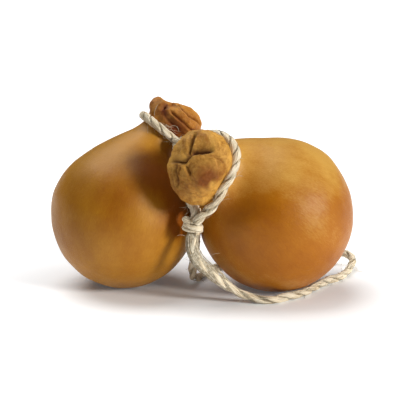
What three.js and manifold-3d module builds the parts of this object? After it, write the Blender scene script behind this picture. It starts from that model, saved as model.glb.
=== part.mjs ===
import * as THREE from 'three';
import { mergeVertices } from 'three/addons/utils/BufferGeometryUtils.js';
import Module from 'manifold-3d';

// Two pear-shaped stretched-curd cheeses tied together with one twine.
// Millimetres, +Z up, front towards -Y, both cheeses resting on the floor z = 0.

const TWINE = 6.0;              // twine diameter
const TWINE_SIDES = 8;          // sides of the twine section
const GAP = 0.3;                // clearance between pieces that touch
const REST = TWINE / 2 + 0.5;   // twine's centre line above the skin it is tied on
const SKIN_TURNS = 44;          // facets round a cheese
const SKIN_RINGS = 38;          // facets along a cheese

const vec = (x, y, z) => new THREE.Vector3(x, y, z);
const turn = (degrees) => THREE.MathUtils.degToRad(degrees);

// A cheese: a round body, a sloping shoulder, a narrow neck and a folded head.
// profile: [height along the axis from the body centre, radius], bottom pole to head tip.
// axis: direction from the body to the neck; nod: direction in which the neck bends.
// oval: direction (degrees from the nod) and factors of the neck and head section.
// creases: lines between the folds of the head, in the plane of the face that shows them:
// [along the nod, height] on the side face, [along the nod, across it] on the end face.
const LEFT = {
  centre: vec(-61.6, 9.0, 57.2),
  axis: vec(0.342, 0.227, 0.912),
  nod: vec(0.94, -0.08, -0.33),
  nodAngle: 23,
  nodFrom: 40,
  nodTo: 84,
  profile: [[-58.0, 0], [-55.5, 17], [-45, 36.8], [-27, 51.4], [-6, 57.9],
    [12, 57.0], [25, 53.3], [35, 47.7], [43, 41.4], [50, 34.4], [57, 27.4], [64, 21.4], [70.5, 18],
    [76.5, 17], [81, 18.6], [85, 21.2], [89, 22.6], [93.5, 22.4], [98, 20.2], [101.8, 15.6],
    [104, 8.4], [104.6, 0]],
  necktie: 76.5,                // height of the twine round the neck
  headFrom: 81,
  headCentre: 91,
  oval: [0, 1.0, 1.0],
  saddle: { at: -9, width: 5, depth: 4.2 },   // a dip across the top of the head
  creaseFace: 'side',
  creases: [
    { depth: 4.2, width: 3.0, line: [[-10, 84], [-11.5, 90], [-10.5, 97], [-8.5, 106]] },
    { depth: 2.4, width: 1.9, line: [[-9, 90], [-1, 92.4], [13, 94], [24, 95.4]] },
    { depth: 2.0, width: 1.9, line: [[-7, 101], [4, 101.6], [16, 102.4]] },
  ],
};

const RIGHT = {
  centre: vec(60.9, -0.5, 60.6),
  axis: vec(-0.700, -0.320, 0.628),
  nod: vec(0.104, -0.928, -0.358),
  nodAngle: 48,
  nodFrom: 44,
  nodTo: 95,
  profile: [[-61.5, 0], [-58.8, 18], [-47.6, 39], [-28.8, 54.4], [-6, 61.2],
    [13, 60.1], [27, 55.6], [38, 49.2], [47, 42.2], [55, 35], [62, 29], [68, 25], [74, 22.6],
    [79, 22], [83.5, 23.2], [87.5, 25], [92, 26.4], [97, 26.4], [102, 23.8], [106.4, 18.4],
    [109.4, 10.6], [110.4, 0]],
  necktie: 79,
  headFrom: 85,
  headCentre: 95,
  oval: [130, 1.08, 0.95],
  saddle: { at: 0, width: 1, depth: 0 },
  creaseFace: 'end',
  creases: [
    { depth: 3.2, width: 2.2, line: [[-2, 12], [-13, 2], [-24, -8]] },
    { depth: 2.8, width: 2.2, line: [[-2, 12], [4, 22], [8, 30]] },
    { depth: 2.8, width: 2.2, line: [[-2, 12], [-14, 20], [-22, 24]] },
  ],
};

const wasm = await Module();
wasm.setup();

function closedMesh(geometry) {
  const bare = new THREE.BufferGeometry();
  bare.setAttribute('position', geometry.getAttribute('position').clone());
  if (geometry.index) bare.setIndex(geometry.index.clone());
  const merged = mergeVertices(bare, 1e-4);
  const index = merged.index.array;
  const kept = [];
  for (let i = 0; i < index.length; i += 3) {
    const [a, b, c] = [index[i], index[i + 1], index[i + 2]];
    if (a !== b && b !== c && c !== a) kept.push(a, b, c);
  }
  return new wasm.Mesh({
    numProp: 3,
    vertProperties: new Float32Array(merged.getAttribute('position').array),
    triVerts: new Uint32Array(kept),
  });
}

const toSolid = (geometry) => new wasm.Manifold(closedMesh(geometry));

function toGeometry(solid) {
  const mesh = solid.getMesh();
  const geometry = new THREE.BufferGeometry();
  geometry.setAttribute('position', new THREE.BufferAttribute(new Float32Array(mesh.vertProperties), 3));
  geometry.setIndex(new THREE.BufferAttribute(new Uint32Array(mesh.triVerts), 1));
  return geometry;
}

// The radius of a cheese's profile at a height, and the outward normal there.
function profileTable(cheese) {
  const curve = new THREE.SplineCurve(cheese.profile.map(([h, r]) => new THREE.Vector2(h, r)));
  return curve.getPoints(600);
}

function profileAt(cheese, height) {
  const table = cheese.table;
  let i = 1;
  while (i < table.length - 1 && table[i].x < height) i += 1;
  const [a, b] = [table[i - 1], table[i]];
  const t = THREE.MathUtils.clamp((height - a.x) / (b.x - a.x), 0, 1);
  const slope = Math.atan2(b.y - a.y, b.x - a.x);
  return { radius: a.y + (b.y - a.y) * t, outward: Math.cos(slope), along: -Math.sin(slope) };
}

// From the cheese's straight axis (x, y across, h along) to its bent axis in space.
function bent(cheese, x, y, h) {
  const span = cheese.nodTo - cheese.nodFrom;
  const most = turn(cheese.nodAngle);
  const t = THREE.MathUtils.clamp((h - cheese.nodFrom) / span, 0, 1);
  const angle = most * t;
  const arc = span / most;
  const straight = Math.min(h, cheese.nodFrom);
  const beyond = Math.max(h - cheese.nodTo, 0);
  const side = arc * (1 - Math.cos(angle)) + beyond * Math.sin(angle);
  const rise = straight + arc * Math.sin(angle) + beyond * Math.cos(angle);
  const point = cheese.centre.clone();
  point.addScaledVector(cheese.nodDirection, side + x * Math.cos(angle));
  point.addScaledVector(cheese.axisDirection, rise - x * Math.sin(angle));
  return point.addScaledVector(cheese.across, y);
}

// A point of the section, drawn out along one direction and in along the other.
function ovalPoint(cheese, radius, angle, height) {
  const share = THREE.MathUtils.smoothstep(height, cheese.nodFrom, cheese.necktie);
  const [direction, major, minor] = cheese.oval;
  const from = angle - turn(direction);
  const a = radius * Math.cos(from) * (1 + (major - 1) * share);
  const b = radius * Math.sin(from) * (1 + (minor - 1) * share);
  const [cos, sin] = [Math.cos(turn(direction)), Math.sin(turn(direction))];
  return [a * cos - b * sin, a * sin + b * cos];
}

// A point at a stand-off from the smooth skin, by angle round the axis and height along it.
function onSkin(cheese, angle, height, standOff = 0) {
  const { radius, outward, along } = profileAt(cheese, height);
  const r = radius + standOff * outward;
  const h = height + standOff * along;
  const [x, y] = ovalPoint(cheese, r, angle, height);
  return bent(cheese, x, y, h);
}

// How far a point of a face is from a crease's line.
function distanceTo(line, u, v) {
  let nearest = Infinity;
  for (let i = 1; i < line.length; i += 1) {
    const [[au, av], [bu, bv]] = [line[i - 1], line[i]];
    const [du, dv] = [bu - au, bv - av];
    const t = THREE.MathUtils.clamp(((u - au) * du + (v - av) * dv) / (du * du + dv * dv), 0, 1);
    nearest = Math.min(nearest, Math.hypot(u - au - t * du, v - av - t * dv));
  }
  return nearest;
}

// How deep the creases cut into the head at a point of it; towards: 1 straight towards
// the face that shows them, -1 straight away from it.
function creaseDepth(cheese, u, v, towards, height) {
  const share = THREE.MathUtils.smoothstep(height, cheese.headFrom - 2, cheese.headFrom + 6)
    * THREE.MathUtils.smoothstep(towards, -0.25, 0.35);
  let depth = 0;
  for (const { depth: deepest, width, line } of cheese.creases) {
    const off = distanceTo(line, u, v) / width;
    depth = Math.max(depth, deepest * Math.exp(-0.5 * off * off));
  }
  return depth * share;
}

function prepare(cheese) {
  cheese.axisDirection = cheese.axis.clone().normalize();
  cheese.nodDirection = cheese.nod.clone().addScaledVector(
    cheese.axisDirection, -cheese.nod.dot(cheese.axisDirection)).normalize();
  cheese.across = cheese.axisDirection.clone().cross(cheese.nodDirection);
  cheese.table = profileTable(cheese);
}

function cheeseSolid(cheese) {
  const curve = new THREE.SplineCurve(cheese.profile.map(([h, r]) => new THREE.Vector2(r, h)));
  const lathe = new THREE.LatheGeometry(curve.getPoints(SKIN_RINGS), SKIN_TURNS);
  const place = lathe.getAttribute('position');
  for (let i = 0; i < place.count; i += 1) {
    const radius = Math.hypot(place.getX(i), place.getZ(i));
    const height = place.getY(i);
    const angle = Math.atan2(place.getX(i), place.getZ(i));
    const out = Math.hypot(radius, height - cheese.headCentre);
    const [u, v] = ovalPoint(cheese, radius, angle, height);
    const depth = cheese.creaseFace === 'side'
      ? creaseDepth(cheese, u, height, -v / out, height)
      : creaseDepth(cheese, u, v, (height - cheese.headCentre) / out, height);
    const [x, y] = ovalPoint(cheese, radius * (1 - depth / out), angle, height);
    const onTop = THREE.MathUtils.smoothstep(height, cheese.headCentre + 2, cheese.headCentre + 10);
    const { at, width, depth: dip } = cheese.saddle;
    const lowered = dip * Math.exp(-0.5 * ((u - at) / width) ** 2) * onTop;
    const h = height - (depth * (height - cheese.headCentre)) / out - lowered;
    const point = bent(cheese, x, y, h);
    place.setXYZ(i, point.x, point.y, point.z);
  }
  const below = new THREE.BoxGeometry(600, 600, 100).translate(0, 0, -50);
  return toSolid(lathe).subtract(toSolid(below));
}

// A twine solid along an open run of points.
function twineAlong(points, steps, diameter = TWINE) {
  const section = new THREE.Shape();
  for (let i = 0; i < TWINE_SIDES; i += 1) {
    const angle = (2 * Math.PI * i) / TWINE_SIDES;
    const [x, y] = [(diameter / 2) * Math.cos(angle), (diameter / 2) * Math.sin(angle)];
    if (i === 0) section.moveTo(x, y);
    else section.lineTo(x, y);
  }
  const path = new THREE.CatmullRomCurve3(points, false, 'centripetal');
  return toSolid(new THREE.ExtrudeGeometry(section, { steps, extrudePath: path, curveSegments: 1 }));
}

// A closed ring of twine round a neck.
function necktieRing(cheese, steps) {
  const torus = new THREE.TorusGeometry(10, TWINE / 2, TWINE_SIDES, steps);
  const place = torus.getAttribute('position');
  const { radius } = profileAt(cheese, cheese.necktie);
  for (let i = 0; i < place.count; i += 1) {
    const angle = Math.atan2(place.getY(i), place.getX(i));
    const outward = Math.hypot(place.getX(i), place.getY(i)) - 10;
    const [x, y] = ovalPoint(cheese, radius + REST, angle, cheese.necktie);
    const out = 1 + outward / Math.hypot(x, y);
    const point = bent(cheese, x * out, y * out, cheese.necktie + place.getZ(i));
    place.setXYZ(i, point.x, point.y, point.z);
  }
  return toSolid(torus);
}

// The noose round the right neck: both its legs run to the knot.
function nooseSolid(cheese, steps) {
  const route = [vec(-0.6, -45.3, 71.9), onSkin(cheese, turn(-27), 71, REST + 2.4)];
  route.push(onSkin(cheese, turn(-14), 72.5, REST + 0.6));
  route.push(onSkin(cheese, turn(-3), 76.5, REST + 0.2));
  for (let angle = 8; angle <= 228; angle += 20) {
    route.push(onSkin(cheese, turn(angle), cheese.necktie, REST));
  }
  route.push(onSkin(cheese, turn(243), 75, REST + 1));
  route.push(onSkin(cheese, turn(258), 71, REST + 2));
  route.push(onSkin(cheese, turn(272), 66, REST + 6));
  route.push(vec(-10, -42.5, 72.2));
  return twineAlong(route, steps);
}

// A knot: a rounded core with one turn of twine drawn tight round it.
function knotSolid(centre, lean) {
  const core = new THREE.SphereGeometry(1, 12, 8).scale(5.6, 5.4, 8.4);
  const wrap = new THREE.TorusGeometry(5.0, TWINE / 2, TWINE_SIDES, 16).scale(1.2, 1.05, 1);
  wrap.rotateY(turn(lean));
  return toSolid(core).add(toSolid(wrap)).translate([centre.x, centre.y, centre.z]);
}

prepare(LEFT);
prepare(RIGHT);

const KNOT_RIGHT = vec(-5.8, -42, 62.4);
const KNOT_LEFT = onSkin(LEFT, turn(-48), 73.5, REST + 11);

// The long free loop: from the right knot down to the floor, round the right cheese and
// back between the cheeses up to the left knot.
const LOOP = [
  vec(-6, -43.2, 53.9), vec(-6.0, -46, 48), vec(-3.6, -48, 41), vec(1.2, -48, 34.2), vec(10.6, -47, 25.6),
  vec(21, -44, 15.6), vec(32, -42, 8.6), vec(43, -41.5, 4.6), vec(55, -42, 3.2), vec(68, -34, 3.2),
  vec(82, -24, 3.2), vec(94, -8, 3.2), vec(106, 8, 3.2), vec(117, 18, 3.2), vec(127, 38, 4.4),
  vec(131, 54, 8), vec(124, 62, 10), vec(110, 66, 7), vec(92, 68, 3.4), vec(70, 70, 3.2), vec(46, 66, 3.2),
  vec(28, 56, 3.2), vec(13, 42, 3.2), vec(4, 26, 3.3), vec(-2.5, 12, 3.9), vec(-6, 2, 9.4), vec(-6, -6, 20),
  vec(-4, -13, 34), vec(-2.5, -21, 50), vec(-3.4, -21, 64), vec(-8, -16, 80), vec(-12.5, -10, 94), vec(-14.2, -1.6, 107.6),
];

const solids = {
  cheese_left: cheeseSolid(LEFT),
  cheese_right: cheeseSolid(RIGHT),
  neck_tie_left: necktieRing(LEFT, 36),
  neck_tie_right: nooseSolid(RIGHT, 44),
  knot_right: knotSolid(KNOT_RIGHT, 16),
  knot_left: knotSolid(KNOT_LEFT, -16),
  twine_loop: twineAlong(LOOP, 66),
};

const looks = {
  rind_left: { color: 0xa87436, roughness: 0.5 },
  rind_right: { color: 0xb57a33, roughness: 0.5 },
  twine: { color: 0xd6c8ac, roughness: 0.9 },
};

function lookOf(name) {
  if (name === 'cheese_left') return looks.rind_left;
  return name === 'cheese_right' ? looks.rind_right : looks.twine;
}

// The origin is on the floor, under the middle of everything but the free loop.
const extent = new THREE.Box3();
const geometries = Object.entries(solids).map(([name, solid]) => [name, toGeometry(solid)]);
for (const [name, geometry] of geometries) {
  geometry.computeBoundingBox();
  if (name !== 'twine_loop') extent.union(geometry.boundingBox);
}
const middle = extent.getCenter(vec(0, 0, 0));

const part = new THREE.Group();
part.name = 'part';
for (const [name, geometry] of geometries) {
  geometry.translate(-middle.x, -middle.y, 0);
  const mesh = new THREE.Mesh(geometry, new THREE.MeshStandardMaterial({ metalness: 0, ...lookOf(name) }));
  mesh.name = name;
  part.add(mesh);
}

export default part;
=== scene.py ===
"""Two smoked pear-shaped provolone cheeses, tied together at their necks with one twisted twine."""

import logging
import math
from collections.abc import Callable
from dataclasses import dataclass, field
from enum import Enum

import bpy
import numpy as np
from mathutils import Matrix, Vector


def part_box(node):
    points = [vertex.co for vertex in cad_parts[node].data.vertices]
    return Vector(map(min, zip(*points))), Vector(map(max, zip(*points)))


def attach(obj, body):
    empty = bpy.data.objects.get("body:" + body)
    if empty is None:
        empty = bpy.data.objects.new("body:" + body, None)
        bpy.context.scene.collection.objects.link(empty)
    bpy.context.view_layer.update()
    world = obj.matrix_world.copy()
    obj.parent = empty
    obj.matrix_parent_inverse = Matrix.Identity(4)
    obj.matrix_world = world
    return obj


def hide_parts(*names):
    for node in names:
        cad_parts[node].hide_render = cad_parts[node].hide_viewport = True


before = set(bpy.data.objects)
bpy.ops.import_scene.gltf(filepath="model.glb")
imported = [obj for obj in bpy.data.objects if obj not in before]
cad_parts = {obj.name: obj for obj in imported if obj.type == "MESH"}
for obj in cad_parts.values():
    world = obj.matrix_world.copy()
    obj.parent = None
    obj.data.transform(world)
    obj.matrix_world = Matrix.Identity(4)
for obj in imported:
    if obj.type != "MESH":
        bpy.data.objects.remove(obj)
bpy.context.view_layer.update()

MM = 0.001                                  # places and sizes below are in millimetres
MIDDLE = np.array((1.38, 0.68, 0.0))        # where the frame's origin lies among those places
TINY = 1e-6                                 # keeps a direction defined where its length is none
BODY = "root"

log = logging.getLogger("provolone")


def metres(points: np.ndarray) -> np.ndarray:
    """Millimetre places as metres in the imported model's frame."""
    return (np.asarray(points, float) - MIDDLE) * MM


def unit(vector: np.ndarray) -> np.ndarray:
    """The vectors along the last axis, each made one long."""
    vector = np.asarray(vector, float)
    return vector / np.linalg.norm(vector, axis=-1, keepdims=True)


def smoothstep(value: np.ndarray, low: float, high: float) -> np.ndarray:
    """0 up to low, 1 from high on, and a smooth rise between them."""
    share = np.clip((value - low) / (high - low), 0.0, 1.0)
    return share * share * (3.0 - 2.0 * share)


def ripple(points: np.ndarray, wavelength: float, seed: int, waves: int = 9) -> np.ndarray:
    """Smooth uneven relief between about -1 and 1, a sum of seeded waves in all directions.

    Args:
        points: places, one in each row.
        wavelength: the typical distance from crest to crest, in the places' own unit.
        seed: another number gives another relief.
        waves: how many waves are added up.

    Returns:
        One height for each place.
    """
    draw = np.random.default_rng(seed)
    total = np.zeros(len(points))
    for _ in range(waves):
        direction = unit(draw.normal(size=3))
        length = wavelength * draw.uniform(0.65, 1.5)
        total += np.sin(points @ direction * (2 * math.pi / length) + draw.uniform(0, 2 * math.pi))
    return total / math.sqrt(2.0 * waves)


def catmull_rom(points: np.ndarray, samples: int) -> np.ndarray:
    """A centripetal curve through points, ends included.

    Args:
        points: the places it goes through, one in each row.
        samples: how many places to return on it.

    Returns:
        The places on the curve, one in each row.
    """
    knots = np.vstack((2 * points[0] - points[1], points, 2 * points[-1] - points[-2]))
    curve = []
    for place in np.linspace(0.0, len(points) - 1.0, samples):
        i = min(int(place), len(points) - 2)
        share = place - i
        before, start, end, after = knots[i:i + 4]
        gaps = [math.sqrt(np.linalg.norm(b - a)) for a, b in ((before, start), (start, end), (end, after))]
        first = ((start - before) / gaps[0] - (end - before) / (gaps[0] + gaps[1])) * gaps[1] + (end - start)
        last = ((after - end) / gaps[2] - (after - start) / (gaps[1] + gaps[2])) * gaps[1] + (end - start)
        curve.append(
            start + share * (first + share * (
                3 * (end - start) - 2 * first - last + share * (2 * (start - end) + first + last)
            ))
        )
    return np.array(curve)


def evenly(line: np.ndarray, step: float) -> np.ndarray:
    """Places at even distances along a line.

    Args:
        line: the line's own places.
        step: the distance wanted between two neighbours.

    Returns:
        The new places, from the first end to the last.
    """
    along = np.concatenate(([0.0], np.cumsum(np.linalg.norm(np.diff(line, axis=0), axis=1))))
    wanted = np.linspace(0.0, along[-1], max(3, int(round(along[-1] / step)) + 1))
    return np.stack([np.interp(wanted, along, line[:, k]) for k in range(3)], axis=1)


def length_of(line: np.ndarray) -> float:
    """How long a line of places is."""
    return float(np.linalg.norm(np.diff(line, axis=0), axis=1).sum())


def deselect_all() -> None:
    """Leaves edit mode and deselects every object."""
    if bpy.context.object and bpy.context.object.mode != "OBJECT":
        bpy.ops.object.mode_set(mode="OBJECT")
    bpy.ops.object.select_all(action="DESELECT")


def take_up(piece: bpy.types.Object) -> None:
    """Makes one object the active one and the only one selected.

    Args:
        piece: the object to work on.
    """
    deselect_all()
    bpy.context.view_layer.objects.active = piece
    piece.select_set(True)


def face_outwards() -> None:
    """Points every face of the mesh in edit mode outwards, then leaves edit mode."""
    bpy.ops.mesh.select_all(action="SELECT")
    bpy.ops.mesh.normals_make_consistent(inside=False)
    bpy.ops.object.mode_set(mode="OBJECT")


def places_of(piece: bpy.types.Object) -> np.ndarray:
    """A mesh's vertices.

    Args:
        piece: the mesh object.

    Returns:
        One place in metres for each vertex, in rows.
    """
    flat = np.empty(len(piece.data.vertices) * 3)
    piece.data.vertices.foreach_get("co", flat)
    return flat.reshape(-1, 3)


def move_to(piece: bpy.types.Object, places: np.ndarray) -> None:
    """Moves a mesh's vertices to the given places."""
    piece.data.vertices.foreach_set("co", np.ascontiguousarray(places, dtype=np.float64).ravel())
    piece.data.update()


def close_seams(piece: bpy.types.Object, nearer_than: float, fill_ends: bool = False) -> None:
    """Merges a mesh's seam and points its faces outwards.

    Args:
        piece: the mesh object.
        nearer_than: vertices closer than this become one, in metres.
        fill_ends: whether its open ends get a face each.
    """
    take_up(piece)
    bpy.ops.object.mode_set(mode="EDIT")
    bpy.ops.mesh.select_all(action="SELECT")
    bpy.ops.mesh.remove_doubles(threshold=nearer_than)
    if fill_ends:
        bpy.ops.mesh.select_all(action="DESELECT")
        bpy.ops.mesh.select_mode(type="EDGE")
        bpy.ops.mesh.select_non_manifold(extend=False, use_wire=False, use_multi_face=False,
                                         use_non_contiguous=False, use_verts=False)
        bpy.ops.mesh.edge_face_add()
        bpy.ops.mesh.select_mode(type="VERT")
    face_outwards()


def add_attribute(piece: bpy.types.Object, name: str, values: np.ndarray) -> None:
    """Stores one number for each vertex under a name that a finish reads."""
    stored = piece.data.attributes.new(name, "FLOAT", "POINT")
    stored.data.foreach_set("value", np.ascontiguousarray(values, dtype=np.float32))


def add_directions(piece: bpy.types.Object, name: str, values: np.ndarray) -> None:
    """Stores one vector for each vertex under a name that a finish reads."""
    stored = piece.data.attributes.new(name, "FLOAT_VECTOR", "POINT")
    stored.data.foreach_set("vector", np.ascontiguousarray(values, dtype=np.float32).ravel())


class Slot(Enum):
    """The record's material slots."""

    RIND_LEFT = "rind_left"
    RIND_RIGHT = "rind_right"
    TWINE = "twine"


def hand_over(piece: bpy.types.Object, slot: Slot, *nodes: str) -> None:
    """Puts a finished piece on the body and reports it.

    Args:
        piece: the finished piece.
        slot: the material slot that it is logged under.
        nodes: the plain solids that it stands for, if any.
    """
    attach(piece, BODY)
    if nodes:
        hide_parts(*nodes)
    log.info("%s: %d faces, slot %s, replaces %s", piece.name, len(piece.data.polygons), slot.value, nodes)


# ---------------------------------------------------------------- shader maths


class Value:
    """A shader value; each arithmetic operator on it adds one Math node."""

    def __init__(self, finish: "NodeTree", socket: bpy.types.NodeSocket) -> None:
        """Keeps the socket that gives the value and the tree it belongs to."""
        self.finish = finish
        self.socket = socket

    def _math(self, operation: str, first: "Number", second: "Number") -> "Value":
        """One Math node of the given operation on two numbers or values."""
        return self.finish.value("ShaderNodeMath", {"operation": operation}, {0: first, 1: second})

    def __add__(self, other: "Number") -> "Value":
        """This value plus another."""
        return self._math("ADD", self, other)

    def __radd__(self, other: "Number") -> "Value":
        """A number plus this value."""
        return self._math("ADD", other, self)

    def __sub__(self, other: "Number") -> "Value":
        """This value less another."""
        return self._math("SUBTRACT", self, other)

    def __rsub__(self, other: "Number") -> "Value":
        """A number less this value."""
        return self._math("SUBTRACT", other, self)

    def __mul__(self, other: "Number") -> "Value":
        """This value times another."""
        return self._math("MULTIPLY", self, other)

    def __rmul__(self, other: "Number") -> "Value":
        """A number times this value."""
        return self._math("MULTIPLY", other, self)

    def clamped(self, low: float = 0.0, high: float = 1.0) -> "Value":
        """This value kept between two limits."""
        return self.finish.value("ShaderNodeClamp", {}, {"Value": self, "Min": low, "Max": high})

    def spread(self, low: float, high: float) -> "Value":
        """Carries this value smoothly from 0 to 1.

        Args:
            low: where it is still 0.
            high: where it has become 1.

        Returns:
            The carried value.
        """
        return self.finish.value(
            "ShaderNodeMapRange", {"interpolation_type": "SMOOTHSTEP"},
            {"Value": self, "From Min": low, "From Max": high},
        )


Number = float | Value
Colour = tuple[float, float, float]


class NodeTree:
    """A material's nodes, added one at a time through a single method."""

    def __init__(self, name: str) -> None:
        """Starts an empty material.

        Args:
            name: the material's name.
        """
        self.material = bpy.data.materials.new(name)
        self.material.use_nodes = True
        self.nodes = self.material.node_tree.nodes
        self.links = self.material.node_tree.links
        self.nodes.clear()

    def node(self, kind: str, settings: dict | None = None, inputs: dict | None = None) -> bpy.types.Node:
        """Adds a node.

        Args:
            kind: the node's type name.
            settings: its properties, set before its sockets; "stops" are a colour ramp's.
            inputs: socket name or number to a value, a colour, a Value or a socket to link.

        Returns:
            The new node.
        """
        made = self.nodes.new(kind)
        for name, setting in (settings or {}).items():
            if name == "stops":
                self._set_stops(made, setting)
            else:
                setattr(made, name, setting)
        for name, given in (inputs or {}).items():
            socket = self._enabled_input(made, name)
            if isinstance(given, Value):
                self.links.new(given.socket, socket)
            elif isinstance(given, bpy.types.NodeSocket):
                self.links.new(given, socket)
            elif isinstance(given, tuple) and socket.type == "RGBA":
                socket.default_value = (*given, 1.0)
            else:
                socket.default_value = given
        return made

    @staticmethod
    def _enabled_input(node: bpy.types.Node, name: str | int) -> bpy.types.NodeSocket:
        """A node's input socket by number, or by name among those its settings leave on."""
        if isinstance(name, int):
            return node.inputs[name]
        return next(s for s in node.inputs if s.enabled and s.name == name)

    @staticmethod
    def _set_stops(ramp: bpy.types.Node, stops: list[tuple[float, Colour]]) -> None:
        """Gives a colour ramp its stops.

        Args:
            ramp: the ramp's node.
            stops: each stop's position and colour, in rising order.
        """
        elements = ramp.color_ramp.elements
        while len(elements) < len(stops):
            elements.new(0.5)
        for element, (position, colour) in zip(elements, stops):
            element.position = position
            element.color = (*colour, 1.0)

    def value(self, kind: str, settings: dict | None = None, inputs: dict | None = None) -> Value:
        """Adds a node and returns its first output that is on, as a Value."""
        made = self.node(kind, settings, inputs)
        return Value(self, next(s for s in made.outputs if s.enabled))

    def noise(self, where: bpy.types.NodeSocket, scale: float, detail: float = 3.0,
              roughness: float = 0.5, distortion: float = 0.0) -> Value:
        """Noise between 0 and 1.

        Args:
            where: the coordinates that it is taken at.
            scale: how many waves each unit of them holds.
            detail: how many finer layers it has.
            roughness: how strong they are.
            distortion: how far it swirls.

        Returns:
            The noise.
        """
        made = self.node("ShaderNodeTexNoise", {}, {
            "Vector": where, "Scale": scale, "Detail": detail, "Roughness": roughness,
            "Distortion": distortion,
        })
        return Value(self, made.outputs["Fac"])

    def attribute(self, name: str) -> Value:
        """A number that the piece's mesh stores for each vertex."""
        made = self.node("ShaderNodeAttribute", {"attribute_name": name})
        return Value(self, made.outputs["Fac"])

    def drawn(self, name: str, scale: float) -> bpy.types.NodeSocket:
        """Coordinates that the piece's mesh stores for each vertex.

        Args:
            name: the name they are stored under.
            scale: what they are multiplied by.

        Returns:
            The socket that gives them.
        """
        made = self.node("ShaderNodeAttribute", {"attribute_name": name})
        return self.node("ShaderNodeVectorMath", {"operation": "SCALE"}, {
            "Vector": made.outputs["Vector"], "Scale": scale,
        }).outputs["Vector"]

    def stretched(self, coordinates: str, scale: tuple[float, float, float],
                  turned: tuple[float, float, float] = (0.0, 0.0, 0.0)) -> bpy.types.NodeSocket:
        """Coordinates of the piece, scaled and turned by a Mapping node.

        Args:
            coordinates: "Object", or "UV".
            scale: the factor along each axis.
            turned: the turn about each axis, in radians.

        Returns:
            The socket that gives them.
        """
        source = self.node("ShaderNodeTexCoord")
        return self.node("ShaderNodeMapping", {}, {
            "Vector": source.outputs[coordinates], "Scale": scale, "Rotation": turned,
        }).outputs["Vector"]

    def mixed(self, share: Number, first: "Colour | bpy.types.NodeSocket",
              second: "Colour | bpy.types.NodeSocket") -> bpy.types.NodeSocket:
        """Two colours mixed; share 0 gives the first and 1 the second."""
        made = self.node("ShaderNodeMix", {"data_type": "RGBA"}, {"Factor": share, "A": first, "B": second})
        return next(s for s in made.outputs if s.enabled)

    def ramp(self, share: Value, stops: list[tuple[float, Colour]]) -> bpy.types.NodeSocket:
        """A colour for each number from 0 to 1."""
        return self.node("ShaderNodeValToRGB", {"stops": stops}, {"Fac": share}).outputs["Color"]

    def bump(self, height: Value, distance: float, strength: float = 1.0,
             over: bpy.types.NodeSocket | None = None) -> bpy.types.NodeSocket:
        """A surface raised by a height.

        Args:
            height: how high it is, from 0 to 1.
            distance: what 1 stands for, in metres.
            strength: how much of the bump shows.
            over: another bump that this one lies on.

        Returns:
            The raised surface's normal.
        """
        inputs = {"Height": height, "Distance": distance, "Strength": strength}
        if over is not None:
            inputs["Normal"] = over
        return self.node("ShaderNodeBump", {}, inputs).outputs["Normal"]

    def surface(self, inputs: dict) -> bpy.types.Material:
        """Closes the tree with one principled surface.

        Args:
            inputs: the surface's own sockets, by name.

        Returns:
            The finished material.
        """
        shader = self.node("ShaderNodeBsdfPrincipled", {}, inputs)
        self.node("ShaderNodeOutputMaterial", {}, {"Surface": shader.outputs["BSDF"]})
        return self.material


# ---------------------------------------------------------------- finishes


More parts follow.
